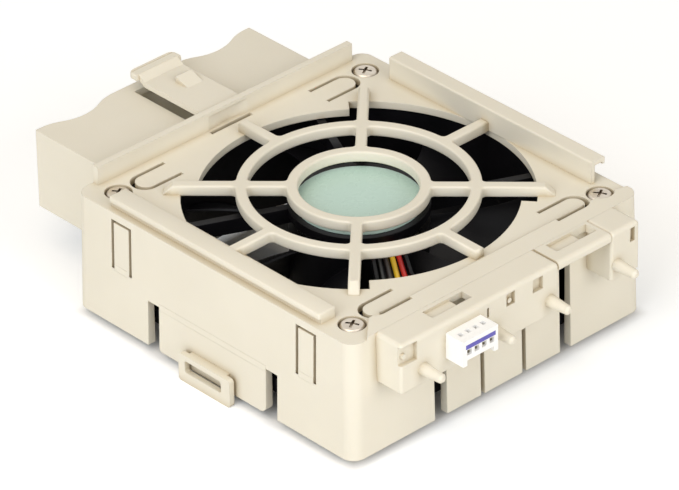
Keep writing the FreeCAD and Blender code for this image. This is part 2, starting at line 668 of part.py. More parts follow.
def fan_frame():
    """Square frame with corner flanges, a round duct and the passage to the port."""
    half = FAN_SIZE / 2
    span = (-half, half)
    block = rounded_block(span, span, 4.0, FAN_BOTTOM, PLATE_UNDER)
    waist_z = (FAN_BOTTOM + FLANGE, PLATE_UNDER - FLANGE)
    waist = box(-50, 50, -50, 50, *waist_z).cut(cylinder(DUCT_RADIUS, *waist_z))
    bore = cylinder(BORE_RADIUS, FAN_BOTTOM - 1, PLATE_UNDER + 1)
    reach = SCREW_SPACING / 2
    holes = quadrants(cylinder(SCREW_HOLE_RADIUS, 0, HEIGHT, reach, reach))
    passage = box(*PORT_X, -47, -34, CHANNEL_FLOOR, 28.4)
    return block.cut(Part.makeCompound([waist, bore, holes, passage]))


def motor_mount():
    """Round base for the motor, held in the duct by three struts and the lead channel."""
    base = cylinder(BASE_RADIUS, *BASE_Z)
    return fuse(base, lead_channel(), *[strut(angle) for angle in (60, 150, 330)])


# Motor

def bearing_tube():
    collar = tube(TUBE_RADII[0], TUBE_RADII[1] + 1.2, BASE_Z[0] - 1, BASE_Z[0])
    return fuse(tube(*TUBE_RADII, BEARING_Z[0] - 0.4, BASE_Z[0]), collar)


def bearing_outer(z):
    """Outer ring with a shield on each side and the groove that its balls run in."""
    top, middle = z + BEARING_WIDTH, z + BEARING_WIDTH / 2
    lower = [(4.0, z), (2.35, z), (2.35, z + 0.25), (3.25, z + 0.25), (3.25, middle - 0.5),
             (3.45, middle - 0.25)]
    upper = [(radius, z + top - height) for radius, height in reversed(lower)]
    return revolved(lower + upper)


def bearing_inner(z):
    return tube(SHAFT_RADIUS, 2.25, z, z + BEARING_WIDTH)


def bearing_balls(z):
    """Seven balls seated in the outer ring's groove, just clear of the inner ring."""
    height = z + BEARING_WIDTH / 2
    ball = revolved([(0, -0.5), (0.45, -0.22), (0.45, 0.22), (0, 0.5)])
    ball.translate(V(2.9, 0, height))
    return Part.makeCompound([turned(ball, 360 / 7 * place) for place in range(7)])


def bearing_spacer():
    return tube(3.3, TUBE_RADII[0], BEARING_Z[0] + BEARING_WIDTH, BEARING_Z[1] - 0.7)


def spring_washer():
    """Dished washer that presses the bearings apart."""
    top = BEARING_Z[1]
    return revolved([(3.3, top - 0.25), (3.3, top), (3.9, top - 0.45), (3.9, top - 0.7)])


def stator_core():
    """Laminated core: a hub, four necks and four curved pole shoes."""
    z0, z1 = CORE_Z
    hub = cylinder(7.0, z0, z1)
    necks = [turned(box(5, 10, -1.6, 1.6, z0, z1), angle) for angle in QUARTERS]
    shoes = [sector(9.6, CORE_RADIUS, angle - 38, angle + 38, z0, z1) for angle in QUARTERS]
    return fuse(hub, *necks, *shoes).cut(cylinder(TUBE_RADII[1], z0, z1))


def insulator():
    """Plastic end plates over the core, and the collar that the board stands on."""
    plates = []
    for z0 in (CORE_Z[0] - 0.8, CORE_Z[1]):
        arms = [turned(box(5, 9.4, -1.6, 1.6, z0, z0 + 0.8), angle) for angle in QUARTERS]
        plates.append(fuse(cylinder(7.0, z0, z0 + 0.8), *arms))
    collar = cylinder(6.2, CORE_Z[1], BOARD_Z[0])
    lower = plates[0].cut(cylinder(TUBE_RADII[1], 0, HEIGHT))
    upper = fuse(plates[1], collar).cut(cylinder(TUBE_RADII[1], 0, HEIGHT))
    return Part.makeCompound([lower, upper])


def coils():
    """Winding round each neck of the core."""
    z0, z1 = CORE_Z[0] - 0.8, CORE_Z[1] + 0.8
    outer = box(7.1, 9.5, -3.1, 3.1, z0 - 1.3, z1 + 1.3)
    outer = rounded(outer, 1.0, lambda edge: runs_along(edge, V(1, 0, 0)))
    winding = outer.cut(box(6, 10, -1.6, 1.6, z0, z1)).common(tube(7.0, 9.5, z0 - 2, z1 + 2))
    return Part.makeCompound([turned(winding, angle) for angle in QUARTERS])


def circuit_board():
    return tube(TUBE_RADII[1], 13.5, *BOARD_Z)


def board_parts():
    """Driver chip, two capacitors, a resistor row and the sensor below the board."""
    z0 = BOARD_Z[1]
    chip = turned(box(7.2, 11.2, -2.5, 2.5, z0, z0 + 1.2), 60)
    small = [turned(box(9, 10.6, -0.6, 0.6, z0, z0 + 0.8), angle) for angle in (110, 135, 160, 185)]
    sensor = turned(box(12.0, 13.2, -1.5, 1.5, BOARD_Z[0] - 1, BOARD_Z[0]), 45)
    return Part.makeCompound([chip, sensor] + small)


def rotor_yoke():
    """Steel cup pressed into the impeller."""
    floor = HUB_Z[0] + HUB_WALL
    cup = cylinder(YOKE_RADIUS, floor, HUB_Z[1] - 0.4)
    cup = cup.cut(cylinder(YOKE_RADIUS - YOKE_WALL, floor + YOKE_WALL, HEIGHT))
    return cup.cut(cylinder(2.4, 0, HEIGHT))


def magnet_ring():
    radius = YOKE_RADIUS - YOKE_WALL
    return tube(radius - MAGNET_WALL, radius, HUB_Z[0] + 4.0, HUB_Z[1] - 1.2)


def shaft():
    """Ground pin with a groove for its clip near the free end."""
    groove = BEARING_Z[1] + BEARING_WIDTH
    pin = cylinder(SHAFT_RADIUS, HUB_Z[0] + 0.6, groove + 1.4)
    return pin.cut(tube(SHAFT_RADIUS - 0.3, SHAFT_RADIUS + 1, groove, groove + 0.4))


def shaft_clip():
    """Split ring that keeps the shaft in the upper bearing."""
    groove = BEARING_Z[1] + BEARING_WIDTH
    ring = tube(SHAFT_RADIUS - 0.3, 2.2, groove, groove + 0.4)
    return ring.cut(box(0, 3, -0.5, 0.5, groove - 1, groove + 1))


def blade_section(radius):
    """Cambered section in the plane x = radius, with blunt edges."""
    share = (radius - HUB_RADIUS) / (TIP_RADIUS - HUB_RADIUS)
    pitch = math.radians(BLADE_PITCH[0] + (BLADE_PITCH[1] - BLADE_PITCH[0]) * share)
    half_chord = BLADE_HALF_DEPTH / math.sin(pitch)
    chord = V(0, math.cos(pitch), math.sin(pitch))
    normal = V(0, -math.sin(pitch), math.cos(pitch))
    middle = V(radius, 5.0 * share * share, (HUB_Z[0] + HUB_Z[1]) / 2 + 0.2)
    camber, thick, edge = 1.7, 0.85 - 0.25 * share, 0.3
    start, end = middle - chord * half_chord, middle + chord * half_chord
    upper = Part.Arc(start + normal * edge, middle + normal * (camber + thick), end + normal * edge)
    lower = Part.Arc(start - normal * edge, middle + normal * (camber - thick), end - normal * edge)
    sides = [Part.makeLine(end + normal * edge, end - normal * edge),
             Part.makeLine(start - normal * edge, start + normal * edge)]
    return Part.Wire(Part.__sortEdges__([upper.toShape(), lower.toShape()] + sides))


def blade():
    sections = [blade_section(radius) for radius in (13.0, 24.0, 34.0, TIP_RADIUS + 1)]
    swept = Part.makeLoft(sections, True, False)
    return swept.common(tube(HUB_RADIUS - HUB_WALL / 2, TIP_RADIUS, 0, HEIGHT))


def impeller():
    """Cup-shaped hub, closed below, with seven twisted and swept blades."""
    z0, z1 = HUB_Z
    rim = 1.2
    hub = revolved([(0, z0), (HUB_RADIUS - rim, z0), (HUB_RADIUS, z0 + rim), (HUB_RADIUS, z1),
                    (YOKE_RADIUS, z1), (YOKE_RADIUS, z0 + HUB_WALL), (0, z0 + HUB_WALL)])
    boss = cylinder(2.2, z0 + 0.4, BEARING_Z[0])
    one = blade()
    blades = [turned(one, 360 / BLADES * place) for place in range(BLADES)]
    pin = cylinder(SHAFT_RADIUS, z0 + 0.6, HEIGHT)
    return fuse(hub, boss, *blades).cut(pin)


def label():
    return cylinder(15.8, BASE_Z[1], BASE_Z[1] + 0.15)


# Leads

def bent_path(points):
    """Straight runs joined by tangent arcs, each as large as its two runs allow."""
    edges = []
    start = points[0]
    for before, corner, after in zip(points, points[1:], points[2:]):
        back, onward = before - corner, after - corner
        setback = 0.45 * min(back.Length, onward.Length)
        back.normalize()
        onward.normalize()
        half_turn = (math.pi - back.getAngle(onward)) / 2
        radius = setback / math.tan(half_turn)
        inward = (back + onward).normalize()
        middle = corner + inward * (radius / math.cos(half_turn) - radius)
        first, last = corner + back * setback, corner + onward * setback
        edges.append(Part.LineSegment(start, first).toShape())
        edges.append(Part.Arc(first, middle, last).toShape())
        start = last
        print("  bend radius %.1f mm" % radius)
    edges.append(Part.LineSegment(start, points[-1]).toShape())
    return Part.Wire(edges)


def lead(place):
    """One lead, from the board along the channel and through the port to its contact."""
    across = lead_direction()[1]
    share = place - 1.5
    x = pin_places()[place]
    board = LEAD_START + across * (LEAD_START_PITCH * share) + V(0, 0, LEAD_Z)
    path = bent_path([board, V(x, LEAD_BEND.y, LEAD_Z), V(x, LEAD_END_Y, LEAD_Z)])
    way = path.Edges[0].tangentAt(path.Edges[0].FirstParameter)
    section = Part.Wire(Part.Circle(board, way, LEAD_RADIUS).toShape())
    solid = path.makePipeShell([section], True, False)
    expected = math.pi * LEAD_RADIUS ** 2 * path.Length
    print("  length %.1f mm, volume %.2f of %.2f" % (path.Length, solid.Volume, expected))
    return solid


def nodes():
    """Every named sub-part of the module."""
    parts = {"housing": housing(), "finger_guard": finger_guard(),
             "connector_shelf": connector_shelf(), "connector_housing": connector_housing(),
             "coding_strip": coding_strip(), "contacts": contacts(),
             "handle_block": handle_block(), "release_latch": release_latch(),
             "side_clip": side_clip(), "pull_loop": pull_loop(),
             "guide_rail_right": guide_rail_right(), "guide_rail_left": guide_rail_left(),
             "fan_frame": fan_frame(), "motor_mount": motor_mount(), "label": label(),
             "impeller": impeller(),
             "rotor_yoke": rotor_yoke(), "magnet_ring": magnet_ring(), "shaft": shaft(),
             "shaft_clip": shaft_clip(), "bearing_tube": bearing_tube(),
             "bearing_spacer": bearing_spacer(), "spring_washer": spring_washer(),
             "stator_core": stator_core(), "insulator": insulator(), "coils": coils(),
             "circuit_board": circuit_board(), "board_parts": board_parts()}
    for name, z in zip(("lower", "upper"), BEARING_Z):
        parts["bearing_outer_" + name] = bearing_outer(z)
        parts["bearing_inner_" + name] = bearing_inner(z)
        parts["bearing_balls_" + name] = bearing_balls(z)
    for name, span in FINGER_SPANS.items():
        parts[name] = snap_finger(span)
    for x_side, y_side in ((-1, -1), (1, -1), (1, 1), (-1, 1)):
        corner = ("front" if y_side < 0 else "rear") + ("_left" if x_side < 0 else "_right")
        parts["screw_" + corner] = screw(x_side, y_side)
    for place, name in enumerate(LEAD_NAMES):
        parts[name] = lead(place)
    return parts


def main():
    os.makedirs("parts", exist_ok=True)
    for name, shape in nodes().items():
        shape.exportStep("parts/%s.step" % name)
        print("%-20s solids %d valid %s volume %.1f" % (name, len(shape.Solids), shape.isValid(),
                                                       shape.Volume))


main()
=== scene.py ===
# %% [markdown]
# # A server fan module
# This lesson dresses a fan module: a black 92 mm fan in a pale moulded carrier. The carrier
# has a finger guard over the fan, rails along two sides, a shelf with a white socket at the
# front and a hollow grip with a sprung latch at the back. The shapes come ready from a CAD
# frame, because they have to fit a bay and each other. The lesson adds what the frame leaves
# out: light, a camera, a finish for every surface, and five pieces of its own. Two of those
# take the place of a CAD shape, and three cover the hairlines at bending joints.

# %% Load the frame
import bmesh
import bpy
import json
import math
from mathutils import Matrix, Vector


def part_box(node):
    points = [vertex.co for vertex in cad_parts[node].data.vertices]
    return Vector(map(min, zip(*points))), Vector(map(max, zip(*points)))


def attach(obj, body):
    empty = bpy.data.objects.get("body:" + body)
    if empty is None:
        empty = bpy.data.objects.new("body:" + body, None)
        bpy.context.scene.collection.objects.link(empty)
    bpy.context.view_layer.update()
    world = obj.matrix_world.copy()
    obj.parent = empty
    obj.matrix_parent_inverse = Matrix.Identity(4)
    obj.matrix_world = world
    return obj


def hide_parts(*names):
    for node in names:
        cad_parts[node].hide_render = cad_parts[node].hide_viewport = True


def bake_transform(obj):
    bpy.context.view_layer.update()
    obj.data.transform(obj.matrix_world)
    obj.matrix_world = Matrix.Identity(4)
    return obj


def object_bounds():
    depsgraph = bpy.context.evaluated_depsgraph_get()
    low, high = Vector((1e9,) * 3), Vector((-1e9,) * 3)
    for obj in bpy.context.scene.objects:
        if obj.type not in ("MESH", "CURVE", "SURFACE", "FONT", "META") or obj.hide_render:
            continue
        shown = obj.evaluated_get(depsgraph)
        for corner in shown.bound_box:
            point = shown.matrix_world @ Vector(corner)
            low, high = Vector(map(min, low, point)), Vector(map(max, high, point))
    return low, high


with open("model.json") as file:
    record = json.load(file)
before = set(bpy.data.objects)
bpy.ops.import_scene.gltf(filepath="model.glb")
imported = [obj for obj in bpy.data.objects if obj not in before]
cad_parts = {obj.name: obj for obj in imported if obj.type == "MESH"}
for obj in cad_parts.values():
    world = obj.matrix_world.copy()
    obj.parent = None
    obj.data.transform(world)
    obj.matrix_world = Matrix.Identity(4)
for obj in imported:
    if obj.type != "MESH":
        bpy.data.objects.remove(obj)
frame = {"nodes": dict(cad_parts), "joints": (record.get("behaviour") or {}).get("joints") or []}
cad_box = [list(corner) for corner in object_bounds()]
print("CAD nodes:", len(frame["nodes"]), "box in metres:", cad_box)

# %% [markdown]
# ## The floor
# The module stands on a plain pale surface. A plane is enough, as long as it is much larger
# than the module, so that no edge shows. It isn't part of the object. Blender keeps a shape's
# data, such as its mesh, apart from the object that shows it, so a small helper makes the
# object for each mesh, lamp or camera.

# %% Floor
def add_object(name, data):
    """Puts a mesh, a lamp or a camera into the scene."""
    thing = bpy.data.objects.new(name, data)
    bpy.context.scene.collection.objects.link(thing)
    return thing


low, high = (Vector(corner) for corner in cad_box)
floor_half = 4.0
floor_corners = [(x * floor_half, y * floor_half, low.z)
                 for x, y in ((-1, -1), (1, -1), (1, 1), (-1, 1))]
floor_mesh = bpy.data.meshes.new("floor")
floor_mesh.from_pydata(floor_corners, [], [(0, 1, 2, 3)])
floor = add_object("floor", floor_mesh)
print("floor at z =", round(low.z, 4))

# %% [markdown]
# ## Pale moulded plastic
# The carrier is one injection moulding in a warm light grey, with slightly cloudy patches
# where the plastic flowed. Every finish in this lesson is a node tree that ends in the
# Principled shader. A picture of plastic could be wrapped round the shapes, but its scale
# would change from wall to wall. Noise laid in object space, in metres, has its true size on
# a large wall and on a small peg, so each finish starts from such a cloud.

# %% Node helpers
def set_sockets(node, **values):
    """Sets a node's inputs by name, with _ for a space."""
    for name, value in values.items():
        node.inputs[name.replace("_", " ")].default_value = value


def new_finish(name):
    """A material with nodes, and its Principled shader."""
    material = bpy.data.materials.new(name)
    material.use_nodes = True
    return material, material.node_tree.nodes["Principled BSDF"]


def add_node(owner, kind, **values):
    """Adds a node to a material or a world and sets its inputs."""
    node = owner.node_tree.nodes.new(kind)
    set_sockets(node, **values)
    return node


def link(owner, source, target):
    """Joins an output to an input."""
    owner.node_tree.links.new(source, target)


def cloud(material, size, detail=3.0):
    """Soft noise whose blotches are about this many metres across."""
    place = add_node(material, "ShaderNodeTexCoord")
    noise = add_node(material, "ShaderNodeTexNoise", Scale=1 / size, Detail=detail)
    link(material, place.outputs["Object"], noise.inputs["Vector"])
    return noise.outputs["Fac"]


carrier, shader = new_finish("carrier_plastic")
print("new finish:", carrier.name)

# %% [markdown]
# ## Two close tints
# No moulding is one flat colour. A colour ramp turns the cloud into a slow drift between two
# tints that are hardly apart. The colours are linear red, green and blue, which look darker
# on paper than on the screen.

# %% Carrier tint
def tint(material, shader, factor, dark, light, dark_at=0.3, light_at=0.7):
    """Base colour between two tints, dark where the factor is low."""
    ramp = add_node(material, "ShaderNodeValToRGB")
    for stop, place, colour in zip(ramp.color_ramp.elements, (dark_at, light_at),
                                   (dark, light)):
        stop.position = place
        stop.color = (*colour, 1)
    link(material, factor, ramp.inputs["Fac"])
    link(material, ramp.outputs["Color"], shader.inputs["Base Color"])
    return ramp


carrier_blotch = 0.03
ramp = tint(carrier, shader, cloud(carrier, carrier_blotch),
            dark=(0.722, 0.680, 0.572), light=(0.762, 0.720, 0.612))
print("blotches are", carrier_blotch * 1000, "mm across")

# %% [markdown]
# ## Painted shade in the corners
# Light that bounces about in a groove takes up the plastic's own colour, so grooves and inner
# corners look darker and warmer than open faces. That shade is painted into the base colour
# here: the Ambient Occlusion node tells how far a point is closed in, and a multiply mix
# darkens and warms it by that. The node looks only a few millimetres far, so that open walls
# keep their colour.

# %% Corner shade
def shade_corners(material, shader, ramp, reach, colour, amount, closed=0.35, open_air=0.95):
    """Paints shade into the base colour: multiplies it by another where surfaces within reach
    close in on it.
    """
    corner = add_node(material, "ShaderNodeAmbientOcclusion", Distance=reach)
    corner.samples = 8
    share = add_node(material, "ShaderNodeMapRange", From_Min=closed, From_Max=open_air,
                     To_Min=amount, To_Max=0.0)
    mix = add_node(material, "ShaderNodeMixRGB", Color2=(*colour, 1))
    mix.blend_type = "MULTIPLY"
    link(material, corner.outputs["AO"], share.inputs["Value"])
    link(material, share.outputs["Result"], mix.inputs["Fac"])
    link(material, ramp.outputs["Color"], mix.inputs["Color1"])
    link(material, mix.outputs["Color"], shader.inputs["Base Color"])


carrier_corner_reach = 0.0025
# painted shade: grooves and inner corners are darkened and warmed in the base colour
shade_corners(carrier, shader, ramp, carrier_corner_reach, colour=(0.66, 0.56, 0.40),
              amount=0.7)
print("corner shade reaches", carrier_corner_reach * 1000, "mm")

# %% [markdown]
# ## Sheen and grain
# Such a part comes out of a spark-eroded tool, so it has a very fine, even grain and a soft
# sheen. The sheen is a roughness that drifts a little. The grain is a shallow bump, because
# no one would see its shape. A sharp CAD edge would look like cut paper, so the Bevel node
# turns the light softly round each edge, as the real 0.3 mm radius does. A little subsurface
# scattering keeps the plastic from looking like painted metal.

# %% Carrier surface
def gloss(material, shader, factor, smooth, rough):
    """Roughness that drifts between two values."""
    span = add_node(material, "ShaderNodeMapRange", To_Min=smooth, To_Max=rough)
    link(material, factor, span.inputs["Value"])
    link(material, span.outputs["Result"], shader.inputs["Roughness"])


def grain(material, shader, factor, depth, edge):
    """Bump of this depth on top of softly rounded edges, both in metres."""
    bevel = add_node(material, "ShaderNodeBevel", Radius=edge)
    bevel.samples = 4
    bump = add_node(material, "ShaderNodeBump", Strength=1.0, Distance=depth)
    link(material, factor, bump.inputs["Height"])
    link(material, bevel.outputs["Normal"], bump.inputs["Normal"])
    link(material, bump.outputs["Normal"], shader.inputs["Normal"])


gloss(carrier, shader, cloud(carrier, size=0.012), smooth=0.40, rough=0.52)
grain(carrier, shader, cloud(carrier, size=0.0004, detail=2.0), depth=0.00002, edge=0.0003)
set_sockets(shader, Subsurface_Weight=0.06, Subsurface_Radius=(0.0012, 0.0009, 0.0005),
            IOR=1.5)
print("nodes in", carrier.name + ":", len(carrier.node_tree.nodes))

# %% [markdown]
# ## Dressing the carrier
# The frame holds the carrier as eleven nodes, so that each can be named and moved. They are
# one moulding, so they all get the same finish. Only the material slots of a CAD node are
# touched: its shape and its place stay as they are.

# %% Dress the carrier
def dress(material, *names):
    """Gives CAD nodes a finish."""
    for name in names:
        slots = frame["nodes"][name].data.materials
        slots.clear()
        slots.append(material)
    print(material.name, "on", ", ".join(names))


dress(carrier, "housing", "finger_guard", "connector_shelf", "handle_block", "release_latch",
      "side_clip", "pull_loop", "guide_rail_right", "guide_rail_left", "snap_finger_rear",
      "snap_finger_front")

# %% [markdown]
# ## The finger guard
# The guard is moulded in one with the plate: two rings, four long spokes from the inner ring
# to the plate's corners, and four short ones from the outer ring. Where a bar meets a ring,
# the real corner has a small radius, because a sharp one would crack. A flat outline gives
# that easily: each such corner is an arc that touches the bar and the ring. A 2D curve with
# its holes, some height and a rounded edge then turns the outline into bars. The spokes are
# listed by their angle about the fan's axis, in degrees, with the reach of their tips.

# %% Guard measures
guard_low, guard_high = (Vector(corner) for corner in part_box("finger_guard"))
guard_sink = 0.0004
plate_top = guard_low.z + guard_sink
inner_ring, outer_ring, bar_half = 0.0162, 0.02855, 0.0014
crossing_radius, edge_radius = 0.0011, 0.0005
long_spokes = {45: 0.0480, 135: 0.0475, 225: 0.0460, 315: 0.0475}
short_spokes = {0: guard_high.x, 90: guard_high.y, 180: 0.0424, 270: -guard_low.y}
print("guard from", round(guard_low.z, 4), "to", round(guard_high.z, 4))

# %% [markdown]
# ## Arcs that touch a bar and a ring
# A corner arc outside a ring has its centre one radius away from the ring's edge and one
# radius away from the bar's side. Both distances together fix the centre, and from there the
# two points of touch follow. Inside a ring the same holds with the radius taken off. Each
# arc is worked out for a bar that points along X and is turned into place afterwards.

# %% Corner arcs
def turned(point, degrees):
    """A point turned about the fan's axis."""
    return Matrix.Rotation(math.radians(degrees), 2) @ Vector(point)


def arc(centre, start, end, steps):
    """Points along the shorter way round a centre, from one point to another."""
    centre, start, end = Vector(centre), Vector(start), Vector(end)
    first = math.atan2(*(start - centre).yx)
    sweep = math.atan2(*(end - centre).yx) - first
    sweep = (sweep + math.pi) % (2 * math.pi) - math.pi
    radius = (start - centre).length
    return [centre + Vector((math.cos(first + sweep * i / steps),
                             math.sin(first + sweep * i / steps))) * radius
            for i in range(steps + 1)]


def crossing(ring, side, outside, steps=6):
    """Corner arc between a bar that points along X and a ring's edge, from bar to ring."""
    away = 1 if outside else -1
    across = bar_half + crossing_radius
    reach = ring + away * crossing_radius
    centre = Vector((math.sqrt(reach ** 2 - across ** 2), side * across))
    on_bar = Vector((centre.x, side * bar_half))
    on_ring = centre.normalized() * ring
    return arc(centre, on_bar, on_ring, steps)


print("points in a corner arc:", len(crossing(outer_ring + bar_half, 1, True)))

# %% [markdown]
# ## The gaps between the rings
# The long spokes divide the space between the two rings into four equal gaps. The outline of
# one runs along a spoke, round the outer ring, back along the next spoke and round the inner
# ring, with a corner arc at each change.

# %% Gaps
half_gap = 45
outer_steps, inner_steps = 28, 20


def inner_cell(middle_angle):
    """Outline of a gap between the two rings, a quarter turn wide."""
    inside, outside = inner_ring + bar_half, outer_ring - bar_half
    before, after = middle_angle - half_gap, middle_angle + half_gap
    first = [turned(p, before) for p in crossing(inside, 1, True)]
    second = [turned(p, before) for p in crossing(outside, 1, False)]
    third = [turned(p, after) for p in crossing(outside, -1, False)]
    fourth = [turned(p, after) for p in crossing(inside, -1, True)]
    round_outer = arc((0, 0), second[-1], third[-1], outer_steps)[1:-1]
    round_inner = arc((0, 0), fourth[-1], first[-1], inner_steps)[1:-1]
    return first[::-1] + second + round_outer + third[::-1] + fourth + round_inner


print("points round a gap:", len(inner_cell(0)))

# %% [markdown]
# ## The outer edge
# The outline outside goes round the outer ring and out to the tip of each of the eight
# spokes in turn. Its points run counter-clockwise, and those of the holes clockwise.

# %% Outer edge
rim_steps = 16


def outer_edge():
    """Outline round the outer ring and all eight spokes."""
    points = []
    ring = outer_ring + bar_half
    spokes = sorted({**long_spokes, **short_spokes}.items())
    for place, (angle, reach) in enumerate(spokes):
        up = [turned(p, angle) for p in crossing(ring, -1, True)]
        down = [turned(p, angle) for p in crossing(ring, 1, True)]
        tip = [turned((reach, -bar_half), angle), turned((reach, bar_half), angle)]
        points += up[::-1] + tip + down
        next_angle = spokes[(place + 1) % len(spokes)][0]
        onward = [turned(p, next_angle) for p in crossing(ring, -1, True)]
        points += arc((0, 0), down[-1], onward[-1], rim_steps)[1:-1]
    return points


print("points round the outer edge:", len(outer_edge()))

# %% [markdown]
# ## From the outline to bars
# A filled 2D curve treats closed lines inside the outer one as holes. Extrusion gives it its
# height, half of it to each side, and its bevel rounds the edges. The bevel also adds to the
# outline, so an offset of the same size takes that off again.

# %% Guard bars
def add_outline(curve, points):
    """Adds a closed line to a flat curve."""
    line = curve.splines.new("POLY")
    line.points.add(len(points) - 1)
    for target, point in zip(line.points, points):
        target.co = (point.x, point.y, 0, 1)
    line.use_cyclic_u = True


hole_radius, hole_points = inner_ring - bar_half, 72
outline = bpy.data.curves.new("guard_outline", "CURVE")
outline.dimensions = "2D"
outline.fill_mode = "BOTH"
outline.extrude = (guard_high.z - guard_low.z) / 2 - edge_radius
outline.bevel_depth = edge_radius
outline.bevel_resolution = 2
outline.offset = -edge_radius
add_outline(outline, outer_edge())
add_outline(outline, [turned((hole_radius, 0), -360 / hole_points * i)
                      for i in range(hole_points)])
for middle_angle in (0, 90, 180, 270):
    add_outline(outline, inner_cell(middle_angle)[::-1])
drawn = bpy.data.objects.new("guard_outline", outline)
guard_mesh = bpy.data.meshes.new_from_object(drawn)
guard_mesh.transform(Matrix.Translation((0, 0, (guard_low.z + guard_high.z) / 2)))
bpy.data.objects.remove(drawn)
print("guard faces:", len(guard_mesh.polygons))

# %% [markdown]
# ## The sloped tips
# The long spokes taper down to the plate at their tips. Each is cut across where its slope
# starts, so that the top face can bend there. The points beyond the cut then sink towards
# the plate, the more so the nearer to the tip, and a thin edge is left at the end.

# %% Guard tips
tip_slope, tip_edge = 0.0024, 0.0002
cut_margin, weld_distance = 0.001, 0.000001
guard_height = guard_high.z - guard_low.z
full_drop = guard_high.z - plate_top - tip_edge
shape = bmesh.new()
shape.from_mesh(guard_mesh)
bmesh.ops.remove_doubles(shape, verts=shape.verts, dist=weld_distance)
for angle, reach in long_spokes.items():
    along = turned((1, 0), angle).to_3d()
    start = reach - tip_slope
    near = [face for face in shape.faces
            if max(corner.co.dot(along) for corner in face.verts) > start - cut_margin]
    edges = {edge for face in near for edge in face.edges}
    corners = {corner for face in near for corner in face.verts}
    bmesh.ops.bisect_plane(shape, geom=[*near, *edges, *corners], plane_co=along * start,
                           plane_no=along)
    for corner in shape.verts:
        past = corner.co.dot(along) - start
        if past > 0:
            drop = min(past / tip_slope, 1) * full_drop
            above = corner.co.z - guard_low.z
            corner.co.z = guard_low.z + above * (1 - drop / guard_height)
bmesh.ops.recalc_face_normals(shape, faces=shape.faces)
shape.to_mesh(guard_mesh)
shape.free()
print("guard points after the tips:", len(guard_mesh.vertices))

# %% [markdown]
# ## The guard in its place
# The new guard rides on the base body, as the plate does. It stands for the CAD guard, whose
# short spokes run on to the inner ring, and takes its finish from the same slot.

# %% Guard piece
guard_mesh.materials.clear()
guard_mesh.materials.append(carrier)
guard = add_object("guard_bars", guard_mesh)
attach(guard, "base")
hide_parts("finger_guard")
print("guard size in mm:", [round(value * 1000, 1) for value in guard.dimensions])

# %% [markdown]
# ## The left rail's section
# The low rail beside the guard has a flat top and an undercut outside that a chassis can
# grip. The CAD rail slopes down inside, so a new piece stands in for it. Its section is drawn
# once, as six corners in X and Z: along the plate, up the inner side, across the top and down
# round the undercut. The rail sinks into the plate by a hair, so that no gap shows.

# %% Rail section
rail_low, rail_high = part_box("guide_rail_left")
rail_inner = -0.0418
rail_sink = 0.0002
undercut = 0.0006
head_height = 0.0015
rail_bottom = plate_top - rail_sink
under_head = rail_high.z - head_height
section = [(rail_low.x + undercut, rail_bottom), (rail_inner, rail_bottom),
           (rail_inner, rail_high.z), (rail_low.x, rail_high.z),
           (rail_low.x, under_head), (rail_low.x + undercut, under_head)]
print("rail top is", round((rail_inner - rail_low.x) * 1000, 1), "mm wide")

# %% [markdown]
# ## The left rail
# The section stands at both ends of the rail, with one long face between each pair of
# corners. The rail stops just short of the rear screw. Bevels soften the edges round the top,
# and smooth shading with sharp edges kept above an angle makes the bevels look round.

# %% Left rail
rail_end = 0.0379
rail_edge, rail_edge_segments = 0.0004, 3
top_margin = 0.00001
sharp_angle = math.radians(35)
shape = bmesh.new()
front = [shape.verts.new((x, rail_low.y, z)) for x, z in section]
back = [shape.verts.new((x, rail_end, z)) for x, z in section]
shape.faces.new(front)
shape.faces.new(back[::-1])
for i in range(len(section)):
    shape.faces.new([front[i - 1], back[i - 1], back[i], front[i]])
bmesh.ops.recalc_face_normals(shape, faces=shape.faces)
top_edges = [edge for edge in shape.edges
             if max(corner.co.z for corner in edge.verts) > rail_high.z - top_margin]
bmesh.ops.bevel(shape, geom=top_edges, offset=rail_edge, segments=rail_edge_segments,
                profile=0.5, affect="EDGES")
rail_mesh = bpy.data.meshes.new("left_rail")
shape.to_mesh(rail_mesh)
shape.free()
for face in rail_mesh.polygons:
    face.use_smooth = True
rail_mesh.set_sharp_from_angle(angle=sharp_angle)
rail_mesh.materials.append(carrier)
rail = add_object("left_rail", rail_mesh)
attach(rail, "base")
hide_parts("guide_rail_left")
print("left rail:", len(rail_mesh.vertices), "points")

# %% [markdown]
# ## Living hinges
# The side clip and the two snap fingers are part of the wall, and bend where they join it. In
# the frame each turns on a round root, which leaves a hairline in the wall. The real wall
# runs through there without a break, so a thin skin covers each root. First comes the skin's
# outline in X and Z: a ray finds the wall's face above or below the root, and the skin stands
# a hundredth of a millimetre proud of the line between the two hits.

# %% Skin outline
skin_reach, skin_proud, skin_depth, skin_rows = 0.0009, 0.000012, 0.00006, 12
ray_room = 0.01


def face_point(node, y, z):
    """X and Z of the place where a ray from the left first meets a node."""
    start = Vector((low.x - ray_room, y, z))
    hit = frame["nodes"][node].ray_cast(start, Vector((1, 0, 0)))[1]
    return Vector((hit.x, z))


def skin_outline(start, end):
    """Closed outline of a thin slab along the line between two points."""
    rows = [start.lerp(end, i / skin_rows) for i in range(skin_rows + 1)]
    outside = [(row.x - skin_proud, row.y) for row in rows]
    return outside + [(row.x + skin_depth, row.y) for row in reversed(rows)]


print("skins are", round(2 * skin_reach * 1000, 1), "mm high, in", skin_rows, "rows")

# %% [markdown]
# ## A slab from an outline
# The outline is pushed along Y, over the whole width of the moving piece. The rows matter:
# a slab of one long face could only tilt, and many short faces can bend.

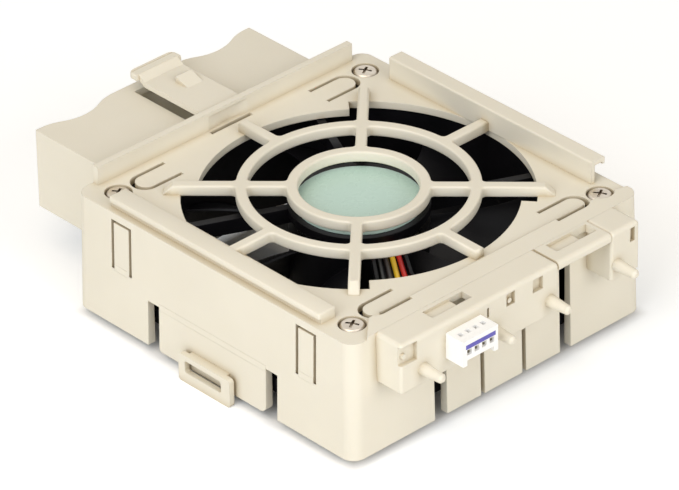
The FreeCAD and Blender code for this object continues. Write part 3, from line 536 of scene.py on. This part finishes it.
# %% Skin slab
def slab(name, profile, y_span):
    """Mesh of an outline pushed along Y, with a strip of four-sided faces at each end."""
    points = [(x, y, z) for y in y_span for x, z in profile]
    count = len(profile)
    faces = [(i, (i + 1) % count, count + (i + 1) % count, count + i) for i in range(count)]
    faces += [(i, i + 1, count - 2 - i, count - 1 - i) for i in range(skin_rows)]
    faces += [tuple(count + i for i in face) for face in faces[count:]]
    mesh = bpy.data.meshes.new(name)
    mesh.from_pydata(points, [], faces)
    mesh.materials.append(carrier)
    return mesh


print("faces in a slab:", 4 * skin_rows + 2)

# %% [markdown]
# ## Skins over the roots
# Each skin runs from the wall's face on one side of its root to the moving piece's face on the
# other, over the whole width of the piece, and its place is baked into its points.

# %% Hinge skins
def hinge_skin(joint, node, above):
    """Skin over a root; above says whether the moving piece stands above it."""
    side = 1 if above else -1
    near, far = (Vector(corner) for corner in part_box(node))
    pivot = next(row for row in frame["joints"] if row["name"] == joint)
    hinge = pivot["pos_m"][2]
    y = (near.y + far.y) / 2
    start = face_point("housing", y, hinge - side * skin_reach)
    end = face_point(node, y, hinge + side * skin_reach)
    name = node + "_hinge_skin"
    skin = add_object(name, slab(name, skin_outline(start, end), (near.y, far.y)))
    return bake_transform(skin)


for joint_name, piece_name, stands_above in (
        ("side_clip_flex", "side_clip", False),
        ("snap_finger_rear_flex", "snap_finger_rear", True),
        ("snap_finger_front_flex", "snap_finger_front", True)):
    covered = hinge_skin(joint_name, piece_name, stands_above)
    print(covered.name, "has", len(covered.data.polygons), "faces")

# %% [markdown]
# ## Black fan plastic
# The fan's frame and impeller are black, glass-filled plastic. It looks almost pure black
# behind the guard, but its satin skin catches long soft highlights on the blades. A base
# colour a little above zero with a broad highlight gives that without looking like rubber.

# %% Fan plastic
fan_black, shader = new_finish("fan_plastic")
tint(fan_black, shader, cloud(fan_black, size=0.01),
     dark=(0.0025, 0.0023, 0.003), light=(0.005, 0.0046, 0.006))
gloss(fan_black, shader, cloud(fan_black, size=0.004), smooth=0.36, rough=0.50)
grain(fan_black, shader, cloud(fan_black, size=0.0005, detail=2.0), depth=0.000015,
      edge=0.0002)
set_sockets(shader, IOR=1.42, Specular_IOR_Level=0.25)
dress(fan_black, "fan_frame", "motor_mount", "impeller")

# %% [markdown]
# ## The label
# A round film label covers the motor. Its print is left off here, so what remains is the
# pale sea-green film: smooth, a little glossy, and slightly uneven where it lies on the
# plastic below.

# %% Label film
film, shader = new_finish("label_film")
tint(film, shader, cloud(film, size=0.02, detail=1.0),
     dark=(0.480, 0.655, 0.590), light=(0.500, 0.675, 0.610))
gloss(film, shader, cloud(film, size=0.003), smooth=0.22, rough=0.34)
grain(film, shader, cloud(film, size=0.006, detail=0.0), depth=0.00001, edge=0.00005)
dress(film, "label")

# %% [markdown]
# ## The socket
# The four-way socket is white nylon, brighter and cooler than the carrier, and light creeps
# a little way into it. Subsurface scattering with a reach of a millimetre shows that at the
# socket's thin walls.

# %% Socket nylon
nylon, shader = new_finish("socket_nylon")
tint(nylon, shader, cloud(nylon, size=0.004),
     dark=(0.92, 0.92, 0.91), light=(0.95, 0.95, 0.94))
gloss(nylon, shader, cloud(nylon, size=0.002), smooth=0.32, rough=0.42)
grain(nylon, shader, cloud(nylon, size=0.0004, detail=2.0), depth=0.00001, edge=0.00015)
set_sockets(shader, Subsurface_Weight=0.1, Subsurface_Radius=(0.001, 0.001, 0.001))
dress(nylon, "connector_housing")

# %% [markdown]
# ## The coding strip
# A blue strip on the socket tells its position apart from others. It is dyed plastic, so its
# blue is deep and leans to violet.

# %% Strip blue
strip_blue, shader = new_finish("coding_blue")
tint(strip_blue, shader, cloud(strip_blue, size=0.002),
     dark=(0.105, 0.095, 0.430), light=(0.130, 0.115, 0.490))
gloss(strip_blue, shader, cloud(strip_blue, size=0.001), smooth=0.30, rough=0.42)
grain(strip_blue, shader, cloud(strip_blue, size=0.0004, detail=2.0), depth=0.00001,
      edge=0.0001)
dress(strip_blue, "coding_strip")

# %% [markdown]
# ## Lead sheaths
# Four thin leads cross the gap beside the motor. Their PVC sheaths are smooth and slightly
# shiny, so one recipe serves for all, with its own colour for each lead. The darker of its
# two tints is the same colour with a little taken off.

# %% Lead sheaths
sheath_colours = {"lead_black": (0.004, 0.004, 0.004), "lead_brown": (0.016, 0.008, 0.006),
                  "lead_yellow": (0.860, 0.560, 0.020), "lead_red": (0.620, 0.018, 0.014)}
darker_share = 0.85
for name, colour in sheath_colours.items():
    sheath, shader = new_finish(name + "_sheath")
    darker = tuple(part * darker_share for part in colour)
    tint(sheath, shader, cloud(sheath, size=0.003), dark=darker, light=colour)
    gloss(sheath, shader, cloud(sheath, size=0.002), smooth=0.28, rough=0.40)
    grain(sheath, shader, cloud(sheath, size=0.0006, detail=1.0), depth=0.00001,
          edge=0.0001)
    dress(sheath, name)

# %% [markdown]
# ## Metals
# The screws are zinc plated and a little dull from the driver; the motor's inner metals are
# ground, rolled, wound or turned. One recipe makes them all: a metallic base, painted shade in
# the corners, a cloudy roughness and a fine grain. Only the colour and the shine differ, so a
# table holds those: dark tint, light tint, smoothest, roughest, and the nodes that get the
# finish.

# %% Metals
metal_finishes = {
    "zinc_plate": ((0.60, 0.53, 0.44), (0.72, 0.65, 0.55), 0.32, 0.46,
                   ["screw_front_left", "screw_front_right", "screw_rear_left",
                    "screw_rear_right"]),
    "ground_steel": ((0.50, 0.50, 0.51), (0.58, 0.58, 0.59), 0.18, 0.30,
                     ["rotor_yoke", "shaft", "shaft_clip", "bearing_outer_lower",
                      "bearing_outer_upper", "bearing_inner_lower", "bearing_inner_upper",
                      "bearing_balls_lower", "bearing_balls_upper", "spring_washer"]),
    "core_sheet": ((0.26, 0.26, 0.27), (0.34, 0.34, 0.35), 0.35, 0.50, ["stator_core"]),
    "turned_brass": ((0.62, 0.46, 0.20), (0.72, 0.56, 0.27), 0.20, 0.34,
                     ["bearing_tube", "bearing_spacer"]),
    "tinned_brass": ((0.62, 0.58, 0.46), (0.72, 0.68, 0.55), 0.22, 0.36, ["contacts"]),
    "coil_wire": ((0.48, 0.20, 0.09), (0.60, 0.27, 0.12), 0.25, 0.40, ["coils"]),
}
for name, (dark, light, smooth, rough, nodes) in metal_finishes.items():
    metal, shader = new_finish(name)
    ramp = tint(metal, shader, cloud(metal, size=0.002), dark, light)
    # painted shade: recesses such as the screws' cross are darkened towards dark brown in the
    # base colour
    shade_corners(metal, shader, ramp, reach=0.0008, colour=(0.22, 0.18, 0.14), amount=1.0)
    gloss(metal, shader, cloud(metal, size=0.0012), smooth, rough)
    grain(metal, shader, cloud(metal, size=0.0003, detail=2.0), depth=0.00001, edge=0.0001)
    set_sockets(shader, Metallic=1.0)
    dress(metal, *nodes)

# %% [markdown]
# ## The other inner pieces
# The magnet, the insulator, the board and its chips are hidden while the module is whole, but
# they are part of it, so they get plain true finishes: dark ferrite, natural nylon, green
# lacquer and black epoxy. The table has the same columns as the one for metals.

# %% Inner plastics and ceramics
inner_finishes = {
    "ferrite": ((0.025, 0.025, 0.026), (0.045, 0.045, 0.047), 0.45, 0.60, ["magnet_ring"]),
    "natural_nylon": ((0.62, 0.59, 0.50), (0.70, 0.67, 0.58), 0.38, 0.50, ["insulator"]),
    "board_lacquer": ((0.015, 0.095, 0.040), (0.025, 0.135, 0.058), 0.20, 0.32,
                      ["circuit_board"]),
    "chip_epoxy": ((0.014, 0.014, 0.014), (0.024, 0.024, 0.024), 0.40, 0.55, ["board_parts"]),
}
for name, (dark, light, smooth, rough, nodes) in inner_finishes.items():
    inner, shader = new_finish(name)
    tint(inner, shader, cloud(inner, size=0.003), dark, light)
    gloss(inner, shader, cloud(inner, size=0.002), smooth, rough)
    grain(inner, shader, cloud(inner, size=0.0004, detail=2.0), depth=0.00001, edge=0.0001)
    dress(inner, *nodes)

# %% [markdown]
# ## The floor's finish
# The floor is matt and almost white, and keeps the soft shadow that tells the eye the module
# stands on something. It needs no grain, because nothing on it is near enough to show one.

# %% Floor paint
floor_paint, shader = new_finish("floor_paint")
tint(floor_paint, shader, cloud(floor_paint, size=0.5),
     dark=(0.90, 0.90, 0.895), light=(0.92, 0.92, 0.915))
set_sockets(shader, Roughness=0.9, Specular_IOR_Level=0.1)
floor.data.materials.append(floor_paint)
print("floor finish:", floor.data.materials[0].name)

# %% [markdown]
# ## A floor as pale as the background
# Lamps that are right for the plastic leave a white floor a little grey. More light would
# wash the module out, so the floor glows faintly instead, and only for rays that come
# straight from the camera: it lights nothing. The glow stops under the housing, within a
# square as wide as the housing's rim, so that the gaps there stay as dark as a real shadow.

# %% Floor glow
def math_node(owner, operation, *sources):
    """A Math node that is fed by one or two outputs."""
    node = add_node(owner, "ShaderNodeMath")
    node.operation = operation
    for source, socket in zip(sources, node.inputs):
        link(owner, source, socket)
    return node.outputs["Value"]


floor_glow = 0.30
rim, rim_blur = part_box("housing")[1][0], 0.002
spot = add_node(floor_paint, "ShaderNodeTexCoord")
parts = add_node(floor_paint, "ShaderNodeSeparateXYZ")
link(floor_paint, spot.outputs["Object"], parts.inputs["Vector"])
sides = [math_node(floor_paint, "ABSOLUTE", parts.outputs[axis]) for axis in ("X", "Y")]
beyond = add_node(floor_paint, "ShaderNodeMapRange", From_Min=rim - rim_blur,
                  From_Max=rim + rim_blur, To_Min=0.0, To_Max=floor_glow)
link(floor_paint, math_node(floor_paint, "MAXIMUM", *sides), beyond.inputs["Value"])
ray = add_node(floor_paint, "ShaderNodeLightPath")
glow = math_node(floor_paint, "MULTIPLY", ray.outputs["Is Camera Ray"],
                 beyond.outputs["Result"])
link(floor_paint, glow, shader.inputs["Emission Strength"])
set_sockets(shader, Emission_Color=(0.88, 0.93, 1.0, 1))
print("floor glows outside", round(rim * 1000, 1), "mm from the axis")

# %% [markdown]
# ## The world as a white tent
# Small goods are often lit in a white tent. Here the world plays the tent. Rays that reach
# the camera, a reflection or a clear surface see plain white. All other rays get a lower and
# slightly warm level, so that the module isn't washed out and its shaded sides look as warm
# as the plastic around them.

# %% World
shade_level, shade_tint = 0.42, (1.0, 0.95, 0.85, 1)
world = bpy.data.worlds.new("tent")
bpy.context.scene.world = world
world.use_nodes = True
background = world.node_tree.nodes["Background"]
ray = add_node(world, "ShaderNodeLightPath")
seen = math_node(world, "MAXIMUM", ray.outputs["Is Camera Ray"],
                 ray.outputs["Is Glossy Ray"])
white = math_node(world, "MAXIMUM", seen, ray.outputs["Is Transmission Ray"])
level = add_node(world, "ShaderNodeMapRange", To_Min=shade_level, To_Max=1.0)
link(world, white, level.inputs["Value"])
link(world, level.outputs["Result"], background.inputs["Strength"])
warmth = add_node(world, "ShaderNodeMixRGB", Color1=shade_tint, Color2=(1.0, 1.0, 1.0, 1))
link(world, white, warmth.inputs["Fac"])
link(world, warmth.outputs["Color"], background.inputs["Color"])
print("tent level for shaded sides:", shade_level)

# %% [markdown]
# ## Studio lamps
# Three large soft lamps light the module. The key stands to the left, low enough to light the
# left wall and the top. The fill stands in front and opens the front wall. A smaller, warmer
# lamp high on the left gives the top plate its slightly deeper tone. Large lamps close by
# make the soft shadows of a light tent. Each lamp's place is two angles and a distance from
# the middle of the module: azimuth 0 is the front, and minus is to the left.

# %% Lamps
middle = (low + high) / 2


def direction(azimuth, elevation):
    """Way from the module towards two angles in degrees, one metre long."""
    turn, lift = math.radians(azimuth), math.radians(elevation)
    return Vector((math.sin(turn) * math.cos(lift), -math.cos(turn) * math.cos(lift),
                   math.sin(lift)))


def soft_lamp(name, azimuth, elevation, distance, size, power, colour):
    """Square lamp that looks at the middle of the module."""
    lamp = bpy.data.lights.new(name, "AREA")
    lamp.shape = "SQUARE"
    lamp.size = size
    lamp.energy = power
    lamp.color = colour
    way = direction(azimuth, elevation)
    thing = add_object(name, lamp)
    thing.location = middle + way * distance
    thing.rotation_euler = way.to_track_quat("Z", "Y").to_euler()
    print(name, "at", [round(value, 2) for value in thing.location], "with", power, "W")


soft_lamp("key", azimuth=-75, elevation=28, distance=1.4, size=0.9, power=9.4,
          colour=(0.95, 1.0, 1.07))
soft_lamp("fill", azimuth=2, elevation=25, distance=1.5, size=0.9, power=9.0,
          colour=(1.0, 0.99, 0.99))
soft_lamp("overhead", azimuth=-80, elevation=64, distance=0.75, size=0.5, power=1.6,
          colour=(1.0, 0.87, 0.72))

# %% [markdown]
# ## The camera
# The module is seen from its front left corner, from well above, through a long lens, so its
# parallel edges stay nearly parallel. The camera's place is given by two angles and a
# distance, with a small roll, and its aim is a little beside the fan's axis. Its three own
# directions, to the right, up and backwards, are the columns of its matrix.

# %% Camera
camera_distance, aim_left, aim_up = 1.4381, 0.005185, 0.014408
roll = math.radians(-1.0)
toward = direction(azimuth=-42.76, elevation=32.22)
level_right = Vector((0, 0, 1)).cross(toward).normalized()
level_up = toward.cross(level_right)
right = level_right * math.cos(roll) + level_up * math.sin(roll)
up = level_up * math.cos(roll) - level_right * math.sin(roll)
place = toward * camera_distance - right * aim_left + up * aim_up
facing = Matrix((right, up, toward)).transposed().to_4x4()

camera_data = bpy.data.cameras.new("camera")
camera_data.sensor_width = 36.0
camera_data.lens = 311.1
camera_data.clip_end = 20.0
camera = add_object("camera", camera_data)
camera.matrix_world = Matrix.Translation(place) @ facing
bpy.context.scene.camera = camera
bpy.context.scene.view_settings.view_transform = "Standard"
print("camera distance:", round(place.length, 3), "m, lens:", camera_data.lens, "mm")
